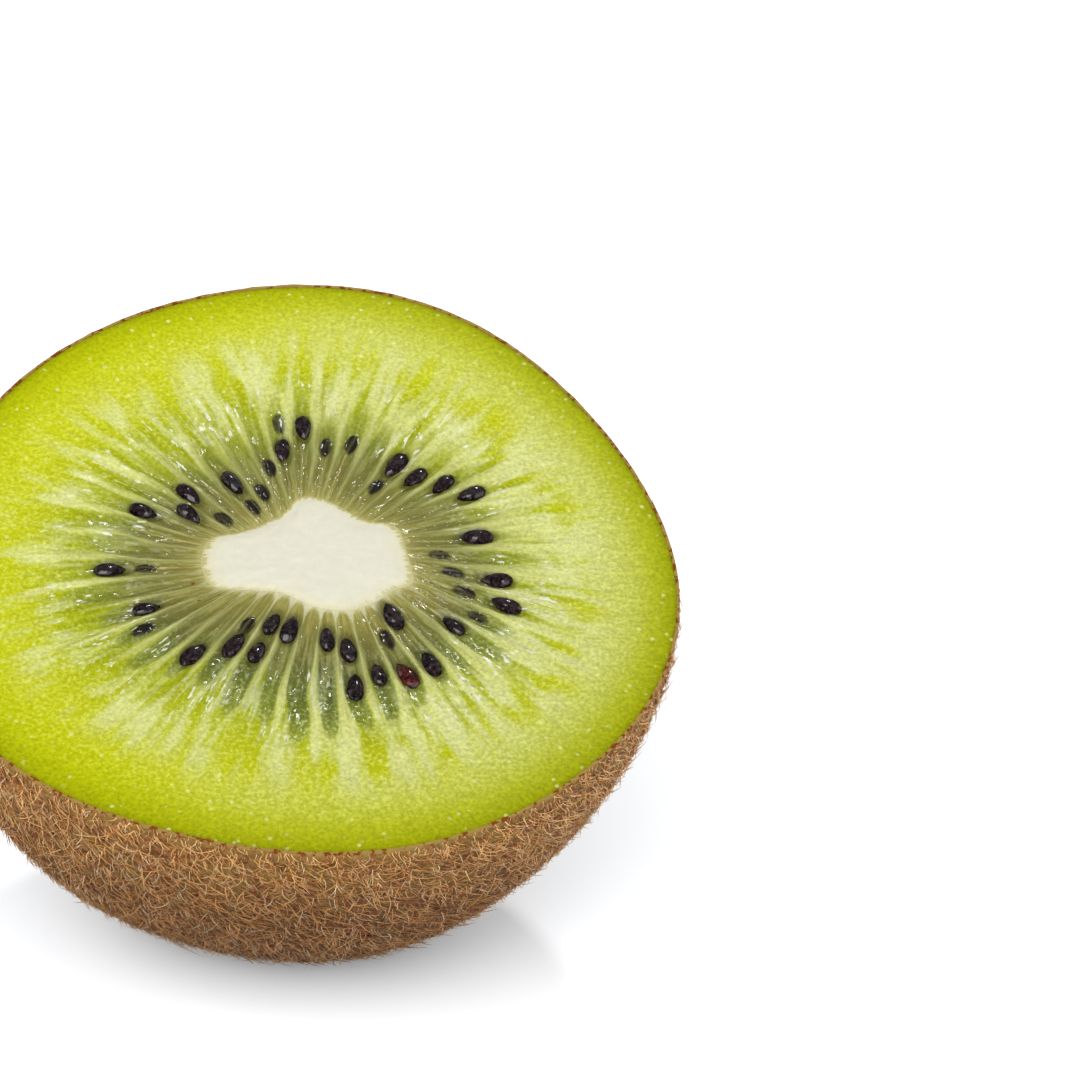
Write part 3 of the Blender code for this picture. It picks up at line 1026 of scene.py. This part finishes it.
# Lengths are in millimetres and lifts in degrees. curl is how far a hair bends sideways, droop
# how far it bends back down, and the column after droop how much painted shade darkens it low down.
HairKind = namedtuple("HairKind", "name count joints shortest longest width least_lift most_lift "
                                  "curl droop darkening dark middle light")
HAIR_KINDS = (
    HairKind("hairs_short", 19000, 2, 0.5, 1.2, 0.09, 6, 30, 0.7, 0.35, 0.9,
             (110, 65, 26), (166, 114, 56), (204, 156, 92)),
    HairKind("hairs_long", 9000, 4, 0.8, 2.0, 0.085, 5, 30, 1.2, 0.3, 0.85,
             (138, 84, 34), (190, 138, 76), (216, 172, 110)),
    HairKind("hairs_red", 19000, 2, 0.35, 0.9, 0.1, 8, 36, 0.5, 0.4, 0.9,
             (76, 32, 8), (124, 62, 20), (160, 92, 38)),
    HairKind("hairs_pale", 8900, 4, 0.4, 1.2, 0.045, 20, 60, 1.0, 0.25, 0.35,
             (150, 116, 78), (196, 162, 120), (224, 202, 168)),
)
HAIR_SHADE = 0.8
DOWNHILL_LEAN = 0.7
RIM_TURN = 0.1
RIM_SHORTENING = 0.55
RIM_CROWD = 0.5
RIM_LEAN = 1.6
HAIR_TAPER = 0.55
# The painted contact shade that the hairs take on just above the table.
HAIR_CONTACT_SHADE = (48, 30, 18)
# How far from the rim and from the blossom end the hairs stay.
LEAST_TURN = 0.004
MOST_TURN = 0.985 * math.pi / 2
# How wildly the hairs head their own ways, and how much they follow their neighbours.
HEADING_SPREAD = 1.3
COMBING = 1.2


def dome_normals(chamber, turn):
    """Points on the skin, and the way straight out from each."""
    step = 0.01
    points = dome_points(chamber, turn)
    round_way = dome_points(chamber + step, turn) - points
    down_way = dome_points(chamber, np.minimum(turn + step, math.pi / 2)) - points
    normals = unit(np.cross(down_way, round_way))
    return points, normals * np.sign(np.sum(normals * points, axis=-1, keepdims=True))


def scatter(draw, count):
    """Random places on the dome, evenly spread but for a denser row along the rim."""
    turns = (np.arange(TURN_CELLS) + 0.5) / TURN_CELLS * MOST_TURN
    chambers = np.arange(CHAMBERS) + 0.5
    grid_chamber, grid_turn = [grid.ravel() for grid in np.meshgrid(chambers, turns)]
    half_turn = MOST_TURN / TURN_CELLS / 2
    left = dome_points(grid_chamber - 0.5, grid_turn)
    right = dome_points(grid_chamber + 0.5, grid_turn)
    above = dome_points(grid_chamber, grid_turn - half_turn * (grid_turn > half_turn))
    below = dome_points(grid_chamber, grid_turn + half_turn)
    area = np.linalg.norm(np.cross(right - left, below - above), axis=-1)
    area *= 1.0 + RIM_CROWD * bell(0.0, RIM_TURN / 3, grid_turn)
    cell = draw.choice(len(area), count, p=area / area.sum())
    chamber = grid_chamber[cell] + draw.uniform(-0.5, 0.5, count)
    turn = grid_turn[cell] + draw.uniform(-half_turn, half_turn, count)
    return chamber, np.clip(turn, LEAST_TURN, MOST_TURN)


def hair_points(kind, draw, seed):
    """The corners of every hair of a kind, each bent its own way: an array of count, corner, axis."""
    chamber, turn = scatter(draw, kind.count)
    root, normal = dome_normals(chamber, turn)
    sideways = unit(np.cross((0.0, 0.0, 1.0), normal))
    downhill = np.cross(sideways, normal)
    heading = draw.normal(0.0, HEADING_SPREAD, kind.count)
    heading += COMBING * drift_noise(chamber, turn / 1.6, 30, 9, seed + 1)
    near_rim = soft_step(RIM_TURN, 0.0, turn)
    lean = np.sin(heading) + DOWNHILL_LEAN + RIM_LEAN * near_rim
    lay = unit(sideways * np.cos(heading)[:, None] + downhill * lean[:, None])
    side = np.cross(normal, lay)
    spread = (kind.longest - kind.shortest) * draw.beta(2.0, 2.6, kind.count)
    length = (kind.shortest + spread) * MM
    length *= 1.0 - RIM_SHORTENING * near_rim
    lift = np.radians(draw.uniform(kind.least_lift, kind.most_lift, kind.count))
    bend = draw.normal(0.0, kind.curl, kind.count)
    fall = draw.uniform(0.0, kind.droop, kind.count) * np.sin(lift) * 2.0
    thick = kind.width * MM * draw.uniform(0.7, 1.25, kind.count)
    spine = lie_down(np.stack([
        root - normal * ROOT_DEPTH
        + lay * (length * step * np.cos(lift))[:, None]
        + side * (length * bend * step**2 * 0.5)[:, None]
        + normal * (length * (step * np.sin(lift) - fall * step**2 * 0.5))[:, None]
        for step in np.arange(kind.joints + 1) / kind.joints
    ], 1))
    spine[..., 2] = np.maximum(spine[..., 2], HAIR_FLOOR)
    turned = lie_down(np.stack((side, normal), 1)) - np.array(CUT_CENTRE)
    corners = []
    for joint in range(kind.joints):
        half = thick * 0.5 * (1.0 - HAIR_TAPER * joint / kind.joints)
        for corner in range(HAIR_SIDES):
            angle = TURN * (corner + 0.25) / HAIR_SIDES
            offset = turned[:, 0] * math.cos(angle) + turned[:, 1] * math.sin(angle)
            corners.append(spine[:, joint] + offset * half[:, None])
    corners.append(spine[:, kind.joints])
    points = np.stack(corners, 1)
    points[..., 2] = np.maximum(points[..., 2], 0.0)
    return points


def hair_faces(joints):
    """The triangles of one hair: a foot, the sides of each stretch, and the tip."""
    faces = [tuple(range(HAIR_SIDES - 1, -1, -1))]
    tip = joints * HAIR_SIDES
    for joint in range(joints):
        start = joint * HAIR_SIDES
        for corner in range(HAIR_SIDES):
            left, right = start + corner, start + (corner + 1) % HAIR_SIDES
            if joint == joints - 1:
                faces.append((left, right, tip))
            else:
                faces.append((left, right, right + HAIR_SIDES))
                faces.append((left, right + HAIR_SIDES, left + HAIR_SIDES))
    return np.array(faces)


def hair_mesh(kind, seed):
    """Tapering three-sided hairs on the rind, all in one mesh."""
    draw = np.random.default_rng(seed)
    points = hair_points(kind, draw, seed)
    each = points.shape[1]
    first = np.arange(kind.count)[:, None, None] * each
    corners = (hair_faces(kind.joints)[None] + first).reshape(-1, 3)
    mesh = bpy.data.meshes.new(kind.name)
    mesh.vertices.add(kind.count * each)
    mesh.vertices.foreach_set("co", points.astype(np.float32).ravel())
    mesh.loops.add(corners.size)
    mesh.loops.foreach_set("vertex_index", corners.astype(np.int32).ravel())
    mesh.polygons.add(len(corners))
    mesh.polygons.foreach_set("loop_start", np.arange(0, corners.size, 3, dtype=np.int32))
    mesh.update(calc_edges=True)
    store_field(mesh, "tone", np.repeat(draw.uniform(0.0, 1.0, kind.count), each))
    along = np.arange(each) // HAIR_SIDES / kind.joints
    store_field(mesh, "along", np.tile(along, kind.count))
    return mesh


def hair_material(kind):
    material, tree, shader = new_material(kind.name, ior=1.5, specular_ior_level=0.2)
    tone = field(tree, "tone")
    dark, middle, light = [colour(*look, HAIR_SHADE) for look in (kind.dark, kind.middle, kind.light)]
    body = ramp(tree, tone, ((0.0, dark), (0.5, middle), (1.0, light)))
    height = height_above_table(tree)
    # Painted shade: low on the fruit the hairs darken towards their dark tone, and just above the table
    # they take on a painted contact shade.
    low = mask(tree, height, FRONT_RIM_HEIGHT, UNDERSIDE)
    body = mix_colours(tree, times(tree, low, kind.darkening), body, dark)
    body = tint(tree, body, HAIR_CONTACT_SHADE, mask(tree, height, UNDERSIDE, 0.0), 0.8)
    body = mix_colours(tree, times(tree, field(tree, "along"), 0.3), body, light)
    feed(tree, shader, {"Base Color": body, "Roughness": scaled(tree, tone, 0.2, 0.45)})
    return material


def make_hairs():
    for number, kind in enumerate(HAIR_KINDS):
        finish_piece(kind.name, hair_mesh(kind, 60 + 3 * number), hair_material(kind), "fuzz", "flesh")


# Floor, light and camera

FLOOR_SIZE = 3.0
CAMERA_DISTANCE = 0.450
CAMERA_ELEVATION = math.radians(24.0)
CAMERA_SIDE = math.radians(-2.69)
SENSOR = 36.0
LENS = 210.8
PHOTO_SIZE = 1080
CUT_CENTRE_PIXEL = (298.0, 564.7)
WHITE = (1.0, 1.0, 1.0, 1.0)
# How bright the studio is from the floor up to the ceiling: (height, brightness).
WALL_SHADES = ((0.0, 1.0), (0.25, 0.9), (0.75, 0.2), (1.0, 0.12))
WALL_LIGHT = 1.58
BACK_WALL = 0.85
FRONT_WALL = 1.8
TABLE_WHITE = (0.9, 0.925, 0.95, 1.0)
TABLE_SHEEN = (0.92, 0.945, 0.97, 1.0)
TABLE_GLOW = 0.06
SOFTBOXES = (
    ("front softbox", (-0.3, -0.9, 0.76), (1.1, 0.8), 17.0),
    ("back lamp", (0.2, 0.3, 0.75), (0.1, 0.1), 1.9),
)


def make_floor():
    bm = bmesh.new()
    bmesh.ops.create_grid(bm, x_segments=8, y_segments=8, size=FLOOR_SIZE / 2)
    mesh = to_mesh(bm, "floor")
    material, tree, shader = new_material("white table", roughness=0.7)
    shade = add_node(tree, "TexNoise", {"Vector": object_place(tree), "Scale": 30.0})
    body = ramp(tree, shade.outputs["Fac"], ((0.3, TABLE_WHITE), (0.7, TABLE_SHEEN)))
    tree.links.new(body, shader.inputs["Base Color"])
    shader.inputs["Emission Color"].default_value = WHITE
    shader.inputs["Emission Strength"].default_value = TABLE_GLOW
    mesh.materials.append(material)
    add_object("floor", mesh)


def add_softbox(name, place, size, power):
    """A soft oblong light that looks at the middle of the fruit."""
    light = bpy.data.lights.new(name, "AREA")
    light.shape = "RECTANGLE"
    light.size, light.size_y = size
    light.energy = power
    lamp = add_object(name, light)
    lamp.location = place
    lamp.rotation_euler = (Vector(CUT_CENTRE) - Vector(place)).to_track_quat("-Z", "Y").to_euler()


def make_lights():
    """A pale studio: bright walls, brightest in front, a darker ceiling, and two soft lights."""
    world = bpy.data.worlds.new("studio")
    world.use_nodes = True
    tree = world.node_tree
    way = add_node(tree, "TexCoord").outputs["Generated"]
    parts = add_node(tree, "SeparateXYZ", {"Vector": way}).outputs
    walls = ramp(tree, parts["Z"], [(up, (shade, shade, shade, 1.0)) for up, shade in WALL_SHADES])
    range_inputs = {"Value": parts["Y"], "From Min": 0.5, "From Max": -0.9,
                    "To Min": BACK_WALL, "To Max": FRONT_WALL}
    front = add_node(tree, "MapRange", range_inputs).outputs["Result"]
    background = tree.nodes["Background"].inputs
    tree.links.new(mix_colours(tree, 1.0, walls, front, "MULTIPLY"), background["Color"])
    background["Strength"].default_value = WALL_LIGHT
    bpy.context.scene.world = world
    for name, place, size, power in SOFTBOXES:
        add_softbox(name, place, size, power)


def make_camera():
    camera = add_object("camera", bpy.data.cameras.new("camera"))
    camera.data.sensor_width = SENSOR
    camera.data.lens = LENS
    camera.data.clip_start = 0.01
    back = Vector((0.0, -math.cos(CAMERA_ELEVATION), math.sin(CAMERA_ELEVATION))) * CAMERA_DISTANCE
    camera.location = Vector(CUT_CENTRE) + Matrix.Rotation(CAMERA_SIDE, 3, "Z") @ back
    straight = (Vector(CUT_CENTRE) - camera.location).to_track_quat("-Z", "Y")
    focal = LENS / SENSOR * PHOTO_SIZE
    right, down = [pixel - PHOTO_SIZE / 2 for pixel in CUT_CENTRE_PIXEL]
    seen = Vector((right, -down, -focal)).normalized()
    off_middle = Vector((0.0, 0.0, -1.0)).rotation_difference(seen)
    camera.rotation_euler = (straight @ off_middle.inverted()).to_euler()
    bpy.context.scene.camera = camera


def main():
    bpy.context.scene.view_settings.view_transform = "Standard"
    groups = {"streaks": streak_group(), "grain": grain_group()}
    make_camera()
    make_lights()
    make_floor()
    make_flesh(groups)
    make_core(groups)
    make_seeds(groups)
    make_rind(groups)
    make_hairs()


main()
